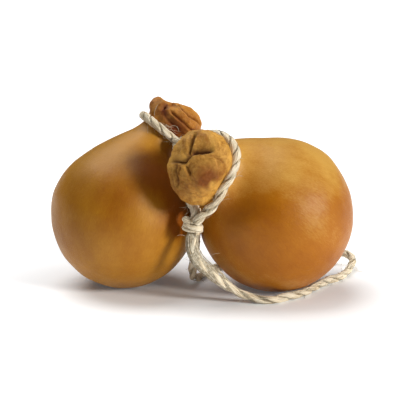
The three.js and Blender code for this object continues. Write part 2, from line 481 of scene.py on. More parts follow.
@dataclass(frozen=True)
class RindFinish:
    """Smoked stretched-curd rind: golden brown, satin, faintly mottled and streaked."""

    name: str
    pale: Colour                # where the smoke took least, and where painted light and painted sheen fall
    golden: Colour
    deep: Colour                # where it took most, and where painted shade falls
    head: Colour                # the folded head's own tone
    head_deep: Colour
    fold: Colour                # painted shade in the folds
    stain_and_shade: Colour               # the head's smokier patches, and painted shade on its undersides
    roughness: float = 0.42
    gloss: float = 0.22         # specular level
    patchiness: float = 0.8     # how much the tone changes over a few centimetres
    mottling: float = 0.4       # and over about one
    streaking: float = 0.25     # and from one broad streak of the drawn curd to the next
    threading: float = 0.6      # and from one fine streak to the next

    def material(self) -> bpy.types.Material:
        """The rind's material, which reads the attributes that a cheese stores.

        Returns:
            The finished material.
        """
        tree = NodeTree(self.name)
        where = tree.stretched("Object", (1.0, 1.0, 1.0))
        patches = tree.noise(where, scale=16.0, detail=3.0, roughness=0.5, distortion=0.4)
        mottle = tree.noise(where, scale=75.0, detail=4.0, roughness=0.55, distortion=0.3)
        grain = tree.noise(where, scale=520.0, detail=3.0, roughness=0.6)
        streaks = tree.noise(tree.drawn("drawn", 0.16), scale=1.0, detail=3.0, roughness=0.5, distortion=0.2)
        threads = tree.noise(tree.drawn("drawn", 1.5), scale=1.0, detail=4.0, roughness=0.65, distortion=0.5)
        wrinkles = tree.noise(where, scale=240.0, detail=5.0, roughness=0.65, distortion=1.2)
        on_head = tree.attribute("head")

        # The smoke attribute holds the body's smoke tone with painted top light, painted shade and painted
        # sheen.
        tone = tree.attribute("smoke_and_painted_light") + (patches - 0.5) * self.patchiness + (mottle - 0.5) * self.mottling
        tone = tone + (streaks - 0.5) * self.streaking + (threads - 0.5) * self.threading
        body = tree.ramp(tone.clamped(), [(0.0, self.pale), (0.5, self.golden), (1.0, self.deep)])
        body = tree.mixed((grain - 0.52).clamped() * 0.2, body, self.pale)

        head_tone = tree.noise(where, scale=60.0, detail=5.0, roughness=0.7, distortion=0.9)
        head_tone = head_tone + (wrinkles - 0.5) * 0.3
        head = tree.mixed(head_tone.spread(0.36, 0.68), self.head, self.head_deep)
        # The stain attribute holds smokier patches and painted shade on the heads' undersides.
        head = tree.mixed(tree.attribute("stain_and_shade").clamped(), head, self.stain_and_shade)

        coloured = tree.mixed(on_head, body, head)
        # Painted shade: the rind darkens by how deep each fold sinks.
        coloured = tree.mixed(tree.attribute("fold"), coloured, self.fold)
        speckles = tree.noise(where, scale=900.0, detail=2.0, roughness=0.7).spread(0.68, 0.78) * 0.16
        coloured = tree.mixed(speckles, coloured, self.deep)

        relief = tree.bump(wrinkles * (0.3 + on_head), 0.0009, 0.7)
        relief = tree.bump(threads, 0.0003, 0.6, relief)
        relief = tree.bump(mottle, 0.0012, 0.35, relief)
        rough = self.roughness + (mottle - 0.5) * 0.16 + (threads - 0.5) * 0.22 + on_head * 0.16
        return tree.surface({
            "Base Color": coloured, "Roughness": rough.clamped(), "Normal": relief,
            "Specular IOR Level": self.gloss,
        })


# In both rinds the fold and stain colours carry painted shade, and pale and deep carry painted light and
# shade through the smoke attribute.
LEFT_RIND = RindFinish(
    "rind_left", pale=(0.45, 0.205, 0.018), golden=(0.33, 0.128, 0.006), deep=(0.22, 0.058, 0.001),
    head=(0.58, 0.265, 0.046), head_deep=(0.36, 0.13, 0.013), fold=(0.12, 0.024, 0.004),
    stain_and_shade=(0.16, 0.032, 0.005),
)

RIGHT_RIND = RindFinish(
    "rind_right", pale=(0.56, 0.30, 0.06), golden=(0.37, 0.122, 0.001), deep=(0.27, 0.072, 0.0),
    head=(0.62, 0.325, 0.060), head_deep=(0.33, 0.130, 0.012), fold=(0.09, 0.028, 0.004),
    stain_and_shade=(0.20, 0.055, 0.004),
)


@dataclass(frozen=True)
class FibreFinish:
    """Dull cream plant fibre, streaked along its length."""

    name: str
    light: Colour
    middle: Colour
    dark: Colour
    across: float = 20.0            # coarse streaks round a ply
    along: float = 45.0             # their changes along a metre
    straw_share: float = 0.50       # how light a single fibre is beside the laid ones' middle tone
    pale_share: float = 0.64        # and where it is paler, beside their light tone

    def material(self) -> bpy.types.Material:
        """The laid twine's material: coarse and fine streaks along the fibres.

        Returns:
            The finished material.
        """
        tree = NodeTree(self.name)
        broad = tree.stretched("UV", (self.across, self.along, 1.0))
        narrow = tree.stretched("UV", (self.across * 4, self.along * 2.2, 1.0))
        coarse = tree.noise(broad, scale=1.0, detail=3.0, roughness=0.6, distortion=0.2)
        fine = tree.noise(narrow, scale=1.0, detail=4.0, roughness=0.65, distortion=0.1)
        blotches = tree.noise(tree.stretched("Object", (1.0, 1.0, 1.0)), scale=85.0)
        shade = coarse * 0.45 + fine * 0.45 + blotches * 0.25
        colour = tree.ramp(shade.spread(0.38, 0.74), [
            (0.0, self.dark), (0.35, self.middle), (0.75, self.light)])
        relief = tree.bump(fine, 0.0004)
        relief = tree.bump(coarse, 0.0009, over=relief)
        return tree.surface({
            "Base Color": colour, "Roughness": (0.7 + fine * 0.25).clamped(), "Normal": relief,
            "Specular IOR Level": 0.25,
        })

    def loose_material(self) -> bpy.types.Material:
        """The single fibres' material, straw-coloured here and paler there.

        Returns:
            The finished material.
        """
        tree = NodeTree(f"{self.name}_loose")
        patches = tree.noise(tree.stretched("Object", (1.0, 1.0, 1.0)), scale=420.0, detail=2.0)
        straw = tuple(self.straw_share * part for part in self.middle)
        pale = tuple(self.pale_share * part for part in self.light)
        colour = tree.mixed(patches.spread(0.38, 0.62), straw, pale)
        return tree.surface({"Base Color": colour, "Roughness": 0.7 + patches * 0.1,
                             "Specular IOR Level": 0.3})


# ---------------------------------------------------------------- cheeses


@dataclass(frozen=True)
class Fold:
    """A line along which the curd of a head was turned in and pressed against itself."""

    line: tuple[tuple[float, float, float], ...]    # along the nod, across it, height
    depth: float
    width: float                # half width on its steep side
    slope: float                # half width on its other side, which turns in slowly
    lip: float = 0.0            # how far the steep side stands up beside the line
    fade: float = 0.2           # share of the line over which each end runs out

    def press(self, places: np.ndarray, outward: np.ndarray) -> tuple[np.ndarray, np.ndarray]:
        """How the fold shapes the skin near it.

        Args:
            places: the head's vertices in the cheese's own straight frame.
            outward: the direction from the head's middle through each of them.

        Returns:
            How far each vertex sinks, and how far it is raised by the lip.
        """
        line = np.array(self.line, float)
        spans = np.linalg.norm(np.diff(line, axis=0), axis=1)
        nearest = np.full(len(places), np.inf)
        side = np.zeros(len(places))
        share = np.zeros(len(places))
        passed = 0.0
        for start, end, span in zip(line, line[1:], spans):
            along = (end - start) / span
            t = np.clip((places - start) @ along, 0.0, span)
            off = places - start - t[:, None] * along
            gap = np.linalg.norm(off, axis=1)
            nearer = gap < nearest
            across = np.cross(along, outward)
            side = np.where(nearer, np.einsum("ij,ij->i", across, off), side)
            share = np.where(nearer, (passed + t) / spans.sum(), share)
            nearest = np.where(nearer, gap, nearest)
            passed += span
        ends = smoothstep(share, -0.02, self.fade) * smoothstep(1.0 - share, -0.02, self.fade)
        half = np.where(side > 0, self.width, self.slope)
        narrow = np.exp(-(nearest / half) ** 1.6)
        broad = np.exp(-((nearest / (3.2 * half)) ** 2))
        sink = self.depth * ends * (0.68 * narrow + 0.32 * broad)
        bank = np.exp(-(((nearest - 2.4 * self.width) / (1.6 * self.width)) ** 2))
        return sink, self.lip * ends * bank * (side > 0)


@dataclass(frozen=True)
class Lobe:
    """A rounded swelling of a head, or a hollow where its height is negative."""

    at: tuple[float, float, float]      # along the nod, across it, height
    spread: float
    height: float

    def lift(self, places: np.ndarray) -> np.ndarray:
        """How far each vertex is pushed out."""
        gap = np.linalg.norm(places - np.array(self.at), axis=1)
        return self.height * np.exp(-((gap / self.spread) ** 2))


@dataclass(frozen=True)
class CheeseForm:
    """The sizes of one cheese: round body, sloping shoulder, narrow neck and folded head."""

    centre: tuple[float, float, float]
    axis: tuple[float, float, float]            # from the body to the neck
    nod: tuple[float, float, float]             # where the neck bends to
    nod_angle: float
    nod_from: float
    nod_to: float
    profile: tuple[tuple[float, float], ...]    # height along the axis and radius there
    necktie: float                              # height of the twine round the neck
    head_from: float                            # where the head's folds begin
    head_centre: float                          # the middle that they are pressed towards
    folds: tuple[Fold, ...]
    lobes: tuple[Lobe, ...]
    stains_and_shade: tuple[Lobe, ...] = ()               # smokier patches of the head and painted shade on its undersides; height is strength
    swellings: tuple[Lobe, ...] = ()            # unevenness of the body
    painted_shade_and_sheen: tuple[Lobe, ...] = ()               # painted shade on the body, and painted sheen where the height is negative, by place in the scene
    oval: tuple[float, float, float] = (0.0, 1.0, 1.0)      # direction and two factors
    saddle: tuple[float, float, float] = (0.0, 1.0, 0.0)    # dip across the head: place, width, depth
    tone: float = 0.5                           # how brown the smoke left its lower body
    pleats: int = 13                            # creases that the twine draws into the neck
    seed: int = 1

    def directions(self) -> tuple[np.ndarray, np.ndarray, np.ndarray]:
        """The cheese's own directions.

        Returns:
            Unit vectors along the nod, across it and along the axis.
        """
        axis = unit(np.array(self.axis))
        nod = np.array(self.nod)
        nod = unit(nod - (nod @ axis) * axis)
        return nod, np.cross(axis, nod), axis

    def outline(self) -> np.ndarray:
        """The profile drawn as a smooth curve.

        Returns:
            The curve's points close together, one [height, radius] in each row.
        """
        points = np.array(self.profile, float)
        knots = np.vstack((points[0], points, points[-1]))
        line = []
        for place in np.linspace(0.0, len(points) - 1.0, 3000):
            i = min(int(place), len(points) - 2)
            t = place - i
            before, start, end, after = knots[i:i + 4]
            first, last = (end - before) / 2, (after - start) / 2
            line.append(
                (2 * start - 2 * end + first + last) * t ** 3
                + (3 * end - 3 * start - 2 * first - last) * t ** 2 + first * t + start
            )
        return np.array(line)

    def oval_point(self, x: np.ndarray, y: np.ndarray, height: np.ndarray) -> tuple[np.ndarray, np.ndarray]:
        """Points of the round section, drawn out along one direction and in along the other.

        Args:
            x: distances along the nod.
            y: distances across it.
            height: distances along the axis, by which the section grows oval.

        Returns:
            The same points' distances along the nod and across it on the oval section.
        """
        share = smoothstep(height, self.nod_from, self.necktie)
        turn, major, minor = math.radians(self.oval[0]), self.oval[1], self.oval[2]
        a = (x * math.cos(turn) + y * math.sin(turn)) * (1 + (major - 1) * share)
        b = (y * math.cos(turn) - x * math.sin(turn)) * (1 + (minor - 1) * share)
        return a * math.cos(turn) - b * math.sin(turn), a * math.sin(turn) + b * math.cos(turn)

    def bent(self, x: np.ndarray, y: np.ndarray, height: np.ndarray) -> np.ndarray:
        """Places beside the straight axis, carried onto the bent one.

        Args:
            x: distances along the nod.
            y: distances across it.
            height: distances along the axis from the body's centre.

        Returns:
            The places in millimetres, one in each row.
        """
        nod, across, axis = self.directions()
        run = np.linspace(0.0, self.nod_to + 60.0, 1200)
        angles = math.radians(self.nod_angle) * smoothstep(run, self.nod_from - 8.0, self.nod_to + 8.0)
        pace = run[1] - run[0]
        middles = (angles[1:] + angles[:-1]) / 2
        sideways = np.concatenate(([0.0], np.cumsum(np.sin(middles)) * pace))
        rise = np.concatenate(([0.0], np.cumsum(np.cos(middles)) * pace))
        angle = np.interp(height, run, angles)
        sideways = np.interp(height, run, sideways) + x * np.cos(angle)
        rise = np.where(height < 0.0, height, np.interp(height, run, rise)) - x * np.sin(angle)
        return (np.array(self.centre) + sideways[:, None] * nod + rise[:, None] * axis
                + np.asarray(y)[:, None] * across)

    def on_skin(self, degrees: float, height: float, stand_off: float = 0.0) -> np.ndarray:
        """One place at or over the smooth skin.

        Args:
            degrees: the angle round the axis, from the nod.
            height: the distance along the axis from the body's centre.
            stand_off: how far the place stands off the skin.

        Returns:
            The place in millimetres.
        """
        line = self.outline()
        i = int(np.clip(np.searchsorted(line[:, 0], height), 1, len(line) - 1))
        slope = math.atan2(line[i, 1] - line[i - 1, 1], line[i, 0] - line[i - 1, 0])
        radius = np.interp(height, line[:, 0], line[:, 1]) + stand_off * math.cos(slope)
        turn = math.radians(degrees)
        x, y = self.oval_point(np.array([radius * math.cos(turn)]), np.array([radius * math.sin(turn)]),
                               np.array([float(height)]))
        return self.bent(x, y, np.array([height - stand_off * math.sin(slope)]))[0]


LEFT_FORM = CheeseForm(
    centre=(-61.6, 9.0, 57.2), axis=(0.342, 0.227, 0.912), nod=(0.94, -0.08, -0.33),
    nod_angle=23.0, nod_from=40.0, nod_to=84.0,
    profile=((-58, 0), (-55.5, 17), (-45, 36.8), (-27, 51.4), (-6, 57.9), (12, 57), (25, 53.3), (35, 47.7),
             (43, 41.4), (50, 34.4), (57, 27.4), (64, 21.4), (70.5, 18), (76.5, 17), (81, 18.6), (85, 21.2),
             (89, 22.6), (93.5, 22.4), (98, 20.2), (101.8, 15.6), (104, 8.4), (104.6, 0)),
    necktie=76.5, head_from=81.0, head_centre=91.0,
    folds=(
        Fold(((-12, -14, 101), (-12.3, -18.5, 95), (-12, -19.5, 90), (-9.5, -20.5, 87)),
             3.4, 1.5, 3.2, 0.8, 0.2),
        Fold(((-12, -19.5, 89), (-7, -20.9, 86), (0, -20.9, 84), (8, -18.9, 84), (17, -11, 85)),
             2.2, 2.0, 3.6, 0.6, 0.2),
        Fold(((-6, -13, 101), (-4.3, -14.4, 99.6), (1.9, -19.2, 98.6), (8.4, -18, 98.4), (12.5, -14.1, 99.4),
              (15, -9.9, 100.2), (19, -3, 98)), 2.9, 0.6, 1.2, 0.6, 0.12),
        Fold(((-7, -21, 91.5), (-3.3, -22.5, 91), (2.2, -22.6, 91), (8.1, -21.2, 91.4), (14.6, -17.4, 91.4),
              (19.2, -12, 92.1), (22, -5, 93)), 2.9, 0.6, 1.2, 0.6, 0.12),
        Fold(((-9, -8, 104), (-7, 4, 104.4), (-10, 14, 100), (-14, 19, 93)), 2.6, 1.2, 2.2, 0.5),
        Fold(((22, 2, 88), (16, 15, 90), (6, 21, 92), (-6, 21, 91)), 1.8, 0.9, 1.6, 0.3),
    ),
    lobes=(Lobe((-20, -8, 93.5), 6.0, -3.2), Lobe((-23, -5, 88), 6.0, 3.0), Lobe((12, -4, 102), 9.0, 2.9),
           Lobe((-17, 3, 99), 8.0, -1.9), Lobe((-8, -16, 97), 4.5, -1.2), Lobe((3, -20, 95), 5.0, 0.9),
           Lobe((6, -21, 87.5), 4.5, 0.8)),
    # The left head's stains paint the shade in its cavity and under its folded block.
    stains_and_shade=(Lobe((-9, -20, 88), 5.0, 0.9), Lobe((8, -18, 83), 11.0, 1.1), Lobe((-19, -8, 88), 6.0, 0.4),
            Lobe((-12, -14, 96), 5.0, 0.4)),
    swellings=(Lobe((-58, -6, 6), 27.0, 1.9),),
    # Painted shade beside the knot, under the right head and on the body's front; negative lobes are painted
    # sheen.
    painted_shade_and_sheen=(Lobe((-68, -44, 82), 26.0, 0.5), Lobe((-16, -29, 72), 22.0, 0.8), Lobe((-14, -26, 61), 10.0, 1.4),
            Lobe((-36, -40, 76), 14.0, -0.5), Lobe((-34, -18, 100), 26.0, 1.0),
            Lobe((-72, -38, 34), 26.0, 0.25)),
    tone=0.30, saddle=(-13.0, 7.0, 5.4), pleats=12, seed=3,
)

RIGHT_FORM = CheeseForm(
    centre=(60.9, -0.5, 60.6), axis=(-0.700, -0.320, 0.628), nod=(0.104, -0.928, -0.358),
    nod_angle=48.0, nod_from=44.0, nod_to=95.0,
    profile=((-61.5, 0), (-58.8, 18), (-47.6, 39), (-28.8, 54.4), (-6, 61.2), (13, 60.1), (27, 55.6),
             (38, 49.2), (47, 42.2), (55, 35), (62, 29), (68, 25), (74, 22.6), (79, 22), (83.5, 23.2),
             (87.5, 25), (92, 26.4), (97, 26.4), (102, 23.8), (106.4, 18.4), (109.4, 10.6), (110.4, 0)),
    necktie=79.0, head_from=85.0, head_centre=95.0, oval=(130.0, 1.08, 0.95),
    folds=(
        Fold(((-17, -13, 104), (-12, -6.5, 108.4), (-9, -3.9, 109.5), (-7.5, -1.6, 110), (-8.4, 2.3, 110),
              (-7.7, 6.9, 109.6), (-4.6, 12.3, 109), (0, 15, 108)), 3.0, 1.0, 2.3, 0.9, 0.12),
        Fold(((-9.4, 4.5, 109.6), (-7.5, 9.8, 109.2), (-4.3, 14.6, 108.3), (-1.5, 18.2, 107),
              (0.2, 21.4, 104.6)), 4.4, 1.1, 3.0, 1.4, 0.2),
        Fold(((-1.5, 13.5, 108.8), (3, 17.5, 106.8), (8, 20, 103.5), (14, 20.5, 99.5)),
             1.7, 0.8, 1.6, 0.9, 0.25),
        Fold(((-9, 3.5, 109.8), (-12.6, 8.1, 108.4), (-15, 11, 107), (-18.4, 14.8, 103.4), (-21, 16.5, 99.5)),
             3.4, 0.75, 1.5, 0.8, 0.15),
        Fold(((-9.6, -3.5, 109.4), (-15.3, -2.8, 107.6), (-19.1, 1.7, 106), (-23, 5, 102)),
             1.2, 0.8, 1.6, 0.3),
        Fold(((-12, -7, 108.2), (-9, -12.4, 107.6), (-2.6, -16.8, 107), (2, -21, 104)),
             3.6, 0.7, 1.3, 1.0, 0.15),
        Fold(((-8.6, -5.6, 109.3), (-6.4, -9.5, 109), (-4.2, -13.6, 108)), 1.9, 0.7, 1.4, 0.6),
        Fold(((-6.4, -2.8, 110), (-3, -3, 110.3), (0.3, -3.7, 110.2), (4.2, -4, 110)),
             2.2, 0.7, 1.6, 0.7, 0.25),
        Fold(((-13.5, -12, 106), (-8.5, -18, 105), (-2, -22.5, 103.5), (4, -25, 99)), 2.4, 0.7, 1.3, 0.6),
        Fold(((-3, 15, 108.6), (2, 17, 107), (8, 17.5, 105.5), (13, 15.5, 104.5)), 1.0, 0.7, 1.4, 0.4, 0.3),
        Fold(((-14, 1, 107.6), (-18, 6, 105), (-21, 9, 101)), 1.0, 0.7, 1.6, 0.3, 0.3),
        Fold(((14, 17, 103), (19, 11, 103), (22, 4, 102)), 1.1, 0.9, 1.8, 0.6, 0.3),
        Fold(((8, 19, 104), (14, 19, 102), (20, 16, 98)), 0.9, 0.9, 1.8, 0.2, 0.3),
    ),
    lobes=(Lobe((-17, 6, 104), 7.0, 0.9), Lobe((-4, 19, 102), 8.0, 0.8), Lobe((6, 3, 110), 9.0, 1.3),
           Lobe((-12, -14, 103), 7.0, 0.7), Lobe((18, 5, 106), 5.5, 1.3), Lobe((25.6, 4.5, 93), 14.0, -5.6),
           Lobe((19, 16, 94), 10.0, -2.8), Lobe((25, -8, 99), 8.0, -2.2), Lobe((14, 12, 106), 5.0, -0.7)),
    # Smokier brown patches; the one low at the front, at (2, -26, 97), is painted shade.
    stains_and_shade=(Lobe((7, 5, 109.5), 8.0, 0.6), Lobe((13, 0, 108.5), 7.0, 0.5), Lobe((14, 10, 105), 8.0, 0.6),
            Lobe((-6, 14, 109), 4.0, 0.3), Lobe((19, 4, 105.4), 3.5, -1.3), Lobe((22, 14, 98), 8.0, 0.5),
            Lobe((8, -12, 107.5), 8.0, 0.5), Lobe((2, -26, 97), 11.0, 0.75), Lobe((-14, -8, 106), 5.0, 0.3),
            Lobe((16, 2, 107), 6.0, 0.5)),
    swellings=(Lobe((-21, 56, 8), 25.0, 1.7),),
    # Painted shade on the front of the body, and painted sheen on its right flank.
    painted_shade_and_sheen=(Lobe((48, -57, 80), 28.0, 0.3), Lobe((86, -57, 72), 14.0, -0.25)), tone=0.5,
    pleats=15, seed=8,
)


@dataclass(frozen=True)
class Relief:
    """Seeded unevenness of one size."""

    wavelength: float           # the typical distance from crest to crest, millimetres
    height: float
    seed: int                   # added to the cheese's own

    def at(self, places: np.ndarray, form: CheeseForm) -> np.ndarray:
        """Its height at each of the places."""
        return self.height * ripple(places, self.wavelength, form.seed + self.seed)


@dataclass
class Cheese:
    """One cheese, spun from its profile, bent, folded at the head and set down on the floor."""

    node: str
    form: CheeseForm
    slot: Slot
    finish: RindFinish
    turns: int = 320                                    # faces round it
    body_step: float = 1.75                             # face length on the body
    head_step: float = 0.52                             # face length on the neck and head
    finer: tuple[float, float] = (-16.0, -2.0)          # from the twine, where faces shorten
    body_fades: tuple[float, float] = (-18.0, -6.0)     # from the twine, where the body's relief ends
    tone_turns: tuple[float, float] = (-9.0, 2.0)       # from the twine, where the head's tone sets in
    folds_begin: tuple[float, float] = (-3.0, 4.0)      # from head_from, where the head's relief sets in
    near_head: float = -6.0                             # from the twine, above which folds are looked for
    crown: tuple[float, float] = (2.0, 10.0)            # from head_centre, where the saddle sets in
    head_relief: tuple[Relief, ...] = (Relief(10.0, 0.6, 10), Relief(4.2, 0.26, 11), Relief(2.2, 0.12, 12))
    body_relief: tuple[Relief, ...] = (Relief(48.0, 0.22, 0), Relief(19.0, 0.12, 1))
    stain_relief: Relief = Relief(7.0, 0.1, 6)
    smoke_relief: Relief = Relief(45.0, 0.12, 4)
    pleat_depth: float = 0.9
    pleat_reach: float = 8.5                            # how far up and down the neck they run
    pleat_above: float = 1.5                            # their middle, above the twine
    fold_full: float = 3.6                              # how deep a fold is where its painted shade is fullest
    smoke_thins: tuple[float, float] = (78.0, 122.0)    # heights over the floor, between which the rind pales upwards, partly paler smoke and partly painted light from above
    smoke_lost: float = 0.45                            # how much paler it is above them

    def build(self) -> bpy.types.Object:
        """Makes the cheese.

        Returns:
            The finished piece, ready on the body.
        """
        piece = self._spun()
        self._shape(piece)
        self._set_down(piece)
        piece.data.materials.append(self.finish.material())
        bpy.ops.object.shade_smooth()
        hand_over(piece, self.slot, self.node)
        return piece

    @staticmethod
    def _set_in(height: np.ndarray, origin: float, ends: tuple[float, float]) -> np.ndarray:
        """How far a change along the axis has set in, between two distances from an origin."""
        return smoothstep(height, origin + ends[0], origin + ends[1])

    def _stations(self) -> np.ndarray:
        """Where the rings of faces go, close together on the head.

        Returns:
            Each ring's [height, radius], in millimetres.
        """
        line = self.form.outline()
        on_neck = self._set_in(line[:, 0], self.form.necktie, self.finer)
        step = self.body_step + (self.head_step - self.body_step) * on_neck
        spans = np.linalg.norm(np.diff(line, axis=0), axis=1) / step[1:]
        along = np.concatenate(([0.0], np.cumsum(spans)))
        wanted = np.linspace(0.0, along[-1], int(along[-1]) + 1)
        return np.stack([np.interp(wanted, along, line[:, k]) for k in range(2)], axis=1)

    def _spun(self) -> bpy.types.Object:
        """The straight, smooth solid: the profile drawn by extrusion and spun round the axis.

        Returns:
            The closed mesh object.
        """
        stations = self._stations() * MM
        deselect_all()
        bpy.ops.mesh.primitive_plane_add(size=MM)
        piece = bpy.context.object
        piece.name = piece.data.name = f"{self.node}_rind"
        bpy.ops.object.mode_set(mode="EDIT")
        bpy.ops.mesh.select_all(action="SELECT")
        bpy.ops.mesh.merge(type="CENTER")
        bpy.ops.transform.translate(value=(0.0, 0.0, stations[0, 0]))
        for (low, inner), (high, outer) in zip(stations, stations[1:]):
            bpy.ops.mesh.extrude_region_move(
                TRANSFORM_OT_translate={"value": (outer - inner, 0.0, high - low)})
        bpy.ops.mesh.select_all(action="SELECT")
        bpy.ops.mesh.spin(steps=self.turns, angle=2 * math.pi, center=(0, 0, 0), axis=(0, 0, 1))
        bpy.ops.object.mode_set(mode="OBJECT")
        close_seams(piece, 0.004 * MM)
        return piece

    def _shape(self, piece: bpy.types.Object) -> None:
        """Oval section, folded head, pleated neck and uneven body, then the bend of the neck.

        Args:
            piece: the straight, smooth cheese, whose vertices are moved.
        """
        form = self.form
        places = places_of(piece) / MM
        height = places[:, 2]
        x, y = form.oval_point(places[:, 0], places[:, 1], height)
        straight = np.stack((x, y, height), axis=1)
        at, width, dip = form.saddle
        on_top = self._set_in(height, form.head_centre, self.crown)
        straight[:, 2] -= dip * np.exp(-0.5 * ((x - at) / width) ** 2) * on_top

        outward = unit(straight - np.array((0.0, 0.0, form.head_centre)))
        on_head = self._set_in(height, form.head_from, self.folds_begin)
        sink, raised = self._folded(straight, outward)
        rough = sum(relief.at(straight, form) for relief in self.head_relief)
        straight += ((raised - sink + rough) * on_head)[:, None] * outward
        straight[:, :2] *= (1 + self._pleats(straight) / np.maximum(np.hypot(x, y), 1.0))[:, None]

        on_body = 1 - self._set_in(height, form.necktie, self.body_fades)
        uneven = sum(relief.at(straight, form) for relief in self.body_relief)
        uneven += sum(swelling.lift(straight) for swelling in form.swellings)
        straight += (uneven * on_body)[:, None] * unit(straight + TINY)
        move_to(piece, metres(form.bent(straight[:, 0], straight[:, 1], straight[:, 2])))
        self._mark(piece, height, sink * on_head, straight)

    def _folded(self, straight: np.ndarray, outward: np.ndarray) -> tuple[np.ndarray, np.ndarray]:
        """The head's folds and lobes.

        Args:
            straight: the vertices in the cheese's own straight frame.
            outward: the direction from the head's middle through each of them.

        Returns:
            How far each vertex sinks into a fold, and how far it is raised by lips and lobes.
        """
        sink = np.zeros(len(straight))
        raised = np.zeros(len(straight))
        near = straight[:, 2] > self.form.necktie + self.near_head
        for fold in self.form.folds:
            depth, lip = fold.press(straight[near], outward[near])
            sink[near] = np.maximum(sink[near], depth)
            raised[near] += lip
        for lobe in self.form.lobes:
            raised[near] += lobe.lift(straight[near])
        return sink, raised

    def _pleats(self, places: np.ndarray) -> np.ndarray:
        """The radial creases that the twine draws into the neck.

        Args:
            places: the vertices in the cheese's own straight frame.

        Returns:
            The change of each one's radius.
        """
        form = self.form
        turn = np.arctan2(places[:, 1], places[:, 0])
        wander = 0.5 * np.sin(2 * turn + form.seed) + 0.35 * np.sin(3 * turn + 2 * form.seed)
        near = np.exp(-(((places[:, 2] - form.necktie - self.pleat_above) / self.pleat_reach) ** 2))
        strength = 0.6 + 0.4 * np.sin(2 * turn + 1.3 * form.seed)
        wave = np.abs(np.sin(0.5 * form.pleats * turn + 2.2 * wander))
        return (wave ** 0.6 - 0.75) * self.pleat_depth * strength * near

    def _mark(self, piece: bpy.types.Object, height: np.ndarray, sink: np.ndarray,
              places: np.ndarray) -> None:
        """Stores where the head is, how deep its folds sink (for their painted shade), its stains and painted
        shade, and the body's smoke tone with painted light and shade, for the finish to read.

        Args:
            piece: the bent cheese.
            height: each vertex's distance along the straight axis.
            sink: how far it lies in a fold.
            places: the vertices in the cheese's own straight frame.
        """
        form = self.form
        add_attribute(piece, "head", self._set_in(height, form.necktie, self.tone_turns))
        # The fold attribute carries the folds' painted shade.
        add_attribute(piece, "fold", np.clip(sink / self.fold_full, 0.0, 1.0) ** 1.6)
        add_attribute(piece, "stain_and_shade", sum(stain_and_shade.lift(places) for stain_and_shade in form.stains_and_shade)
                      + self.stain_relief.at(places, form))
        spread = 20.0 + 0.6 * np.hypot(places[:, 0], places[:, 1])      # less than the radius grows
        around = unit(places[:, :2] + TINY) * spread[:, None]
        add_directions(piece, "drawn", np.column_stack((around, 0.14 * places[:, 2])))
        standing = places_of(piece) / MM + MIDDLE
        # Painted light over the smoke tone: paler upwards, with patches of painted shade and sheen.
        smoke_and_painted_light = form.tone - self.smoke_lost * smoothstep(standing[:, 2], *self.smoke_thins)
        smoke_and_painted_light += self.smoke_relief.at(places, form)
        smoke_and_painted_light += sum(patch.lift(standing) for patch in form.painted_shade_and_sheen)
        add_attribute(piece, "smoke_and_painted_light", smoke_and_painted_light)

    @staticmethod
    def _set_down(piece: bpy.types.Object) -> None:
        """Cuts the small flat spot on which the cheese rests.

        Args:
            piece: the bent cheese, whose underside reaches just below the floor.
        """
        take_up(piece)
        bpy.ops.object.mode_set(mode="EDIT")
        bpy.ops.mesh.select_all(action="SELECT")
        bpy.ops.mesh.bisect(plane_co=(0, 0, 0), plane_no=(0, 0, 1), clear_inner=True, use_fill=True)
        face_outwards()


# ---------------------------------------------------------------- twine


@dataclass(frozen=True)
class Course:
    """A twine's even centre line with the directions across it, millimetres."""

    line: np.ndarray
    side: np.ndarray
    up: np.ndarray
    travelled: np.ndarray           # distance from the start at each place

    @staticmethod
    def along(route: np.ndarray, step: float) -> "Course":
        """Follows a smooth route.

        Args:
            route: the route's places.
            step: the distance from one place of the course to the next.

        Returns:
            The course, whose side direction turns no more than the route makes it.
        """
        line = evenly(route, step)
        tangent = unit(np.gradient(line, axis=0))
        start = np.cross(tangent[0], (0.0, 0.0, 1.0))
        if np.linalg.norm(start) < 0.2:
            start = np.cross(tangent[0], (0.0, 1.0, 0.0))
        side = [unit(start)]
        for ahead in tangent[1:]:
            side.append(unit(side[-1] - (side[-1] @ ahead) * ahead))
        side = np.array(side)
        return Course(line, side, np.cross(tangent, side), np.linspace(0.0, length_of(line), len(line)))

    def beside(self, distance: np.ndarray, turn: np.ndarray, out: np.ndarray) -> np.ndarray:
        """Places beside the line.

        Args:
            distance: how far along the line each one is.
            turn: its angle round the line, in radians.
            out: its distance from the line.

        Returns:
            The places, one in each row.
        """
        def at(rows: np.ndarray) -> np.ndarray:
            """The rows of an array at the wanted distances."""
            return np.stack([np.interp(distance, self.travelled, rows[:, k]) for k in range(3)], axis=1)

        return (at(self.line) + (out * np.cos(turn))[:, None] * at(self.side)
                + (out * np.sin(turn))[:, None] * at(self.up))


